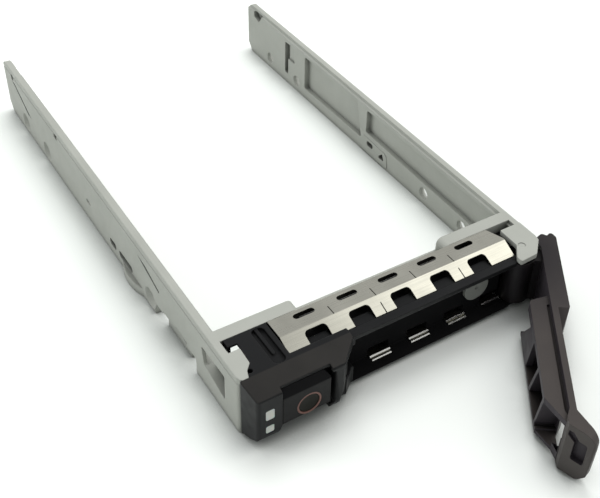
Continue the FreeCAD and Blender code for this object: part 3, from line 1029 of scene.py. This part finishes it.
@dataclass
class Bezel:
    """The black front with its strips, stud and light pipes.

    Args:
        finish: The moulding's plastic.
        window_half: The half width of a finger window in the trough's floor.
        sill: The front and back lines of the sill across each window.
        sill_z: The sill's lower and upper faces.
        shade_sheet_back: The back line of the thin black sheet behind each sill, which hides the
            floor seen through the window as painted shade.
        shade_sheet_z: That sheet's lower and upper faces.
        cuts: What is cut away: the guard's foot, the block's corner and a hollow behind it.
        trough: The inside of the trough behind the closed lever, which gets the darker, duller
            copy of the plastic as painted shade.
        brow: The sloped brow, which gets the paler, browner copy of the plastic as painted light.
    """

    finish: MouldedPlastic = BEZEL_BLACK
    window_half: float = 2.75
    sill: tuple[float, float] = (-12.7, -11.95)
    sill_z: tuple[float, float] = (0.45, 1.08)
    shade_sheet_back: float = -10.2
    shade_sheet_z: tuple[float, float] = (0.4, 0.62)
    cuts: tuple[Block, ...] = (
        Block(
            "foot",
            (
                (-22.0, -1.0),
                (-22.0, 3.4),
                (-21.2, 2.5, 0.5),
                (-18.9, 2.5, 1.4),
                (-17.6, 6.4, 0.8),
                (-16.6, 7.0),
                (-16.0, 7.0),
                (-16.0, -1.0),
            ),
            -20.0,
            -16.6,
            Plane.FRONT,
        ),
        Block(
            "corner",
            (
                (-31.9, -1.0),
                (-31.9, 2.6),
                (-31.4, 3.9, 0.8),
                (-30.6, 5.4),
                (-30.0, 5.4),
                (-30.0, -1.0),
            ),
            -20.0,
            -16.6,
            Plane.FRONT,
        ),
        Block("hollow", oblong(-34.4, -29.9, -6.5, -2.9), 12.0, 14.5),
    )
    trough: Region = Region(low=(-12.7, -14.0, 0.3), high=(FAR, -8.0, 12.95))
    brow: Region = Region(low=(-FAR, -FAR, 13.0), least=(-FAR, -0.6, 0.8), most=(FAR, -0.15, FAR))

    def make(self) -> None:
        """Builds the moulding's skin and what is fixed to it."""
        self.moulding()
        TopStrip().make()
        LowerStrip().make()
        dress("fixing_stud", STUD_GREY)
        dress("light_pipe_upper", PIPE_PALE)
        dress("light_pipe_lower", PIPE_PALE)

    def moulding(self) -> None:
        """Rounds the guard's foot and the block's lower corner, narrows the finger windows and
        lays a thin black sheet across their bottoms as painted shade.
        """
        skin = Solid.copied("bezel_skin", "bezel")
        front, behind = self.sill
        for x in TAB_CENTRES:
            left, right = x - self.window_half, x + self.window_half
            sill = Block("sill", oblong(left, right, front, behind), *self.sill_z)
            # A thin black sheet across the bottom of each window hides the floor there, as painted
            # shade.
            ledge = Block("ledge", oblong(left, right, front, self.shade_sheet_back), *self.shade_sheet_z)
            skin.meet(Joining.ADD, sill.solid(), ledge.solid())
        skin.meet(Joining.CUT, *(cut.solid() for cut in self.cuts))
        skin.stand_for("bezel", "tray", self.finish)
        # Painted shade: the trough gets the darker, duller plastic.
        skin.patch(BEZEL_SHADED, self.trough.holds)
        # Painted light: the sloped brow gets the paler plastic.
        skin.patch(BEZEL_BROW_LIT, self.brow.holds)


@dataclass
class Button:
    """The release button with its ring and spring.

    Args:
        finish: The button's plastic.
        centre: The middle of its face, as (x, z).
        front: The line of its face.
        ring: The ring's inner and outer radius.
        ring_depth: How deep the ring is let in.
        lip: How far the ring's lips are broken, across and along Y.
        steps: The number of steps round the ring.
        travel: How far the button goes in; not used.
        wire_smooth: The angle up to which the coil's faces shade as one.
        brow_shadow_face: The face under the brow, which gets the darker bezel plastic as painted
            shadow of the brow.
        dish: The dished middle, within its radius.
        dish_radius: That radius.
    """

    finish: MouldedPlastic = BUTTON_BLACK
    centre: tuple[float, float] = (-25.4, 7.0)
    front: float = -18.5
    ring: tuple[float, float] = (2.23, 2.65)
    ring_depth: float = 0.45
    lip: tuple[float, float] = (0.06, 0.08)
    steps: int = 72
    travel: float = 1.2
    wire_smooth: float = 60.0
    brow_shadow_face: Region = Region(low=(-FAR, -FAR, 11.3), least=(-FAR, -FAR, 0.3))
    dish: Region = Region(low=(-FAR, -18.45, -FAR), high=(FAR, -17.6, FAR), most=(FAR, -0.5, FAR))
    dish_radius: float = 2.2

    def make(self) -> None:
        """Builds the button, its thin ring and its spring."""
        face = Solid.copied("button_skin", "release_button")
        face.stand_for("release_button", "button", self.finish)
        # Painted shadow of the brow on the button's upper face.
        face.patch(BEZEL_SHADED, self.brow_shadow_face.holds)
        face.patch(DISH_OLIVE, self.in_dish)
        self.turn_ring()
        self.wind_spring()

    def in_dish(self, centre: Vector, normal: Vector) -> bool:
        """Says whether a face is part of the dished middle of the button."""
        off = math.hypot(centre.x - self.centre[0], centre.z - self.centre[1])
        return off < self.dish_radius and self.dish.holds(centre, normal)

    def turn_ring(self) -> None:
        """Turns the thin ring round the dish."""
        inner, outer = self.ring
        across, along = self.lip
        deep = self.front + self.ring_depth
        profile = (
            (inner, deep),
            (inner, self.front + along),
            (inner + across, self.front),
            (outer - across, self.front),
            (outer, self.front + along),
            (outer, deep),
        )
        ring = Solid.turned("ring_turned", profile, self.centre, self.steps)
        ring.stand_for("button_ring", "button", RING_BROWN)

    def wind_spring(self) -> None:
        """Winds the compression spring."""
        wire = Solid.copied("button_coil", "button_spring")
        coil = wire.stand_for("button_spring", "tray", WIRE_STEEL, self.wire_smooth)
        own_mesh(coil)


@dataclass
class Lever:
    """The swing-out lever with its pin and spring. Its sizes are in the closed lever's own axes.

    Args:
        finish: The moulding's plastic.
        cuts: What is cut away: the end window, the tab's root and the ridge beside it.
        pockets: The faces of the ribbed channel's pockets, which get the darker copy of the
            plastic as painted shade.
        tab_root: The point where the flared tab starts.
        tab_lean: How far the tab leans out.
        recess: The tab's recess, in axes that start at its root and run along it; it gets the same
            painted shade.
    """

    finish: MouldedPlastic = LEVER_BROWN
    cuts: tuple[Block, ...] = (
        Block("window_low", ((39.9, 4.4), (43.3, 4.4), (43.3, 6.6), (35.6, 6.6)), -1.0, 8.4),
        Block("window_high", ((40.9, 4.4), (43.3, 4.4), (43.3, 6.6), (38.6, 6.6)), 8.3, 10.6),
        Block("root", ((41.5, 2.2), (44.78, 3.2), (44.78, 4.6), (41.5, 4.6)), 3.4, 7.8),
        Block("ridge", oblong(37.5, 39.4, 0.0, 4.55), 2.5, 3.6),
    )
    pockets: Region = Region(
        low=(12.0, 0.4, 1.25),
        high=(44.5, 4.7, 12.55),
        least=(-FAR, -FAR, -0.97),
        most=(FAR, FAR, 0.97),
    )
    tab_root: tuple[float, float] = (46.4, 4.0)
    tab_lean: float = 52.0
    recess: Region = Region(low=(0.2, 0.02, 5.2), high=(4.5, 1.15, 12.3))

    def make(self) -> None:
        """Builds the lever's skin and dresses its pin and spring."""
        self.moulding()
        dress("hinge_pin", WIRE_STEEL)
        dress("lever_spring", WIRE_STEEL)

    def moulding(self) -> None:
        """Opens the end window through the plate and lowers the tab's root behind it."""
        skin = Solid.copied("lever_skin", "release_lever")
        turn = Matrix.Rotation(math.radians(180 + OPEN_DEG), 4, "Z")
        swing = Matrix.Translation((HINGE[0] * MM, HINGE[1] * MM, 0)) @ turn
        skin.meet(Joining.CUT, *(cut.solid().moved(swing) for cut in self.cuts))
        skin.stand_for("release_lever", "lever", self.finish)
        home = swing.inverted()
        back = home.to_3x3()

        def chosen(centre: Vector, normal: Vector) -> bool:
            """Says whether a face gets the painted shade, once it is in the lever's own axes."""
            return self.is_shaded(home @ (centre * MM) / MM, back @ normal)

        # Painted shade: the pockets and the recess get the darker plastic.
        skin.patch(LEVER_SHADED, chosen)

    def is_shaded(self, spot: Vector, normal: Vector) -> bool:
        """Says whether a face belongs to the channel's pockets or to the tab's recess.

        Args:
            spot: The face's centre.
            normal: Its normal.

        Returns:
            Whether the face gets the darker copy of the plastic as painted shade.
        """
        lean = math.radians(self.tab_lean)
        across, out = spot.x - self.tab_root[0], spot.y - self.tab_root[1]
        along = across * math.cos(lean) + out * math.sin(lean)
        depth = -across * math.sin(lean) + out * math.cos(lean)
        in_recess = self.recess.holds(Vector((along, depth, spot.z)), normal)
        return in_recess or self.pockets.holds(spot, normal)


@dataclass(frozen=True)
class Lamp:
    """A square area lamp that faces the object.

    Args:
        name: The lamp's name.
        place: Where it hangs, in metres.
        side: The side of its square, in metres.
        power: Its power, in watts.
        aim: The point that it faces, in metres.
    """

    name: str
    place: Point
    side: float
    power: float
    aim: Point = (0.0, 0.03, 0.0)

    def hang(self) -> None:
        """Adds the lamp to the scene."""
        data = bpy.data.lights.new(self.name, "AREA")
        data.size = self.side
        data.energy = self.power
        lamp = bpy.data.objects.new(self.name, data)
        lamp.location = self.place
        lamp.visible_glossy = False
        heading = Vector(self.aim) - Vector(self.place)
        lamp.rotation_euler = heading.to_track_quat("-Z", "Y").to_euler()
        bpy.context.collection.objects.link(lamp)


@dataclass
class Studio:
    """The pale floor, the soft lamps, the surroundings and the camera.

    Args:
        lamps: The lamps.
        lens: The camera's focal length.
        shift: The camera's shift, as shares of the frame's width.
        place: Where the camera stands.
        turn: The camera's angles round X, Y and Z.
        near_clip: The nearest distance that the camera shows, in metres.
        floor_half: Half of the floor's side, in metres.
        floor_gap: How far the floor lies under the object.
        floor_seen: The floor's colour where it is seen.
        floor_felt: The floor's colour in the light that it passes on.
        floor_shadow: The darker colour painted on the floor close to the object, as painted
            contact shadow.
        contact_shadow_reach: How near the object that painted shadow starts.
        sky_up: The direction in which the surroundings are brightest.
        sky: The surroundings' stops, from square to that direction to right along it.
    """

    lamps: tuple[Lamp, ...] = (
        Lamp("key", (0.17, 0.42, 0.88), 0.55, 4.3),
        Lamp("fill", (-0.66, 0.62, 0.34), 0.45, 1.75),
    )
    lens: float = 57.13
    shift: tuple[float, float] = (-0.1627, -0.0870)
    place: Point = (-88.843, -116.74, 146.066)
    turn: Point = (52.424, -4.433, -35.609)
    near_clip: float = 0.005
    floor_half: float = 3.0
    floor_gap: float = 0.02
    floor_seen: Colour = (0.965, 1.0, 0.97)
    floor_felt: Colour = (0.60, 0.63, 0.60)
    floor_shadow: Colour = (0.30, 0.315, 0.30)
    contact_shadow_reach: float = 10.0
    sky_up: Point = (0.60, -0.17, 0.78)
    sky: Stops = (
        (0.0, (0.66, 0.67, 0.67)),
        (0.6, (0.54, 0.54, 0.54)),
        (0.8, (0.6, 0.6, 0.6)),
        (0.9, (0.95, 0.95, 0.95)),
        (0.955, (1.75, 1.75, 1.75)),
        (1.0, (2.1, 2.04, 1.9)),
    )

    def make(self) -> None:
        """Sets up the whole studio."""
        self.lay_floor()
        for lamp in self.lamps:
            lamp.hang()
        self.surround()
        self.stand_camera()
        bpy.context.scene.view_settings.view_transform = "Standard"

    def lay_floor(self) -> None:
        """Lays the floor in its pale paint."""
        mesh = bpy.data.meshes.new("floor")
        half = self.floor_half
        corners = [(-half, -half, 0), (half, -half, 0), (half, half, 0), (-half, half, 0)]
        mesh.from_pydata(corners, [], [(0, 1, 2, 3)])
        mesh.materials.append(self.floor_paint())
        floor = bpy.data.objects.new("floor", mesh)
        floor.location.z = -self.floor_gap * MM
        bpy.context.collection.objects.link(floor)

    def floor_paint(self) -> bpy.types.Material:
        """Makes a paint that is brighter where it is seen than in the light it passes on.

        Returns:
            The node material.
        """
        sheet = NodeSheet("floor_pale")
        cloud = sheet.noise(9.0, detail=2.0)
        dim = tuple(c * 0.985 for c in self.floor_felt)
        felt = sheet.ramp(cloud, ((0.3, dim), (0.7, self.floor_felt)))
        ray = sheet.add("ShaderNodeLightPath")
        seen = sheet.add("ShaderNodeMath")
        seen.operation = "MAXIMUM"
        sheet.link(ray.outputs["Is Camera Ray"], seen.inputs[0])
        sheet.link(ray.outputs["Is Glossy Ray"], seen.inputs[1])
        # Painted shadow: the floor darkens near the object, where the object closes over it.
        close = sheet.pocket_shade_mask(self.contact_shadow_reach)
        passed_on = sheet.mix(close, felt, self.floor_shadow)
        shown = sheet.mix(close, self.floor_seen, self.floor_shadow)
        colour = sheet.mix(seen.outputs["Value"], passed_on, shown)
        sheet.link(colour, sheet.surface.inputs["Base Color"])
        sheet.surface.inputs["Roughness"].default_value = 0.9
        sheet.surface.inputs["Specular IOR Level"].default_value = 0.1
        return sheet.material

    def surround(self) -> None:
        """Fills the surroundings: bright overhead, dimmer towards the horizon."""
        world = bpy.data.worlds.new("surroundings")
        bpy.context.scene.world = world
        world.use_nodes = True
        tree = world.node_tree
        place = tree.nodes.new("ShaderNodeTexCoord")
        lean = tree.nodes.new("ShaderNodeVectorMath")
        lean.operation = "DOT_PRODUCT"
        lean.inputs[1].default_value = self.sky_up
        ramp = tree.nodes.new("ShaderNodeValToRGB")
        set_stops(ramp.color_ramp, self.sky)
        light = tree.nodes["Background"]
        light.inputs["Strength"].default_value = 1.0
        tree.links.new(place.outputs["Generated"], lean.inputs[0])
        tree.links.new(lean.outputs["Value"], ramp.inputs["Fac"])
        tree.links.new(ramp.outputs["Color"], light.inputs["Color"])

    def stand_camera(self) -> None:
        """Sets the camera."""
        data = bpy.data.cameras.new("camera")
        data.lens = self.lens
        data.shift_x, data.shift_y = self.shift
        data.clip_start = self.near_clip
        camera = bpy.data.objects.new("camera", data)
        camera.location = Vector(self.place) * MM
        camera.rotation_euler = tuple(math.radians(angle) for angle in self.turn)
        bpy.context.collection.objects.link(camera)
        bpy.context.scene.camera = camera


def main() -> None:
    """Builds the scene."""
    logging.basicConfig(level=logging.INFO, format="%(name)s: %(message)s")
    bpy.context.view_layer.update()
    for part in (Tray(), Bezel(), Button(), Lever(), Studio()):
        part.make()
        LOG.info("made %s", type(part).__name__)


if __name__ == "__main__":
    main()
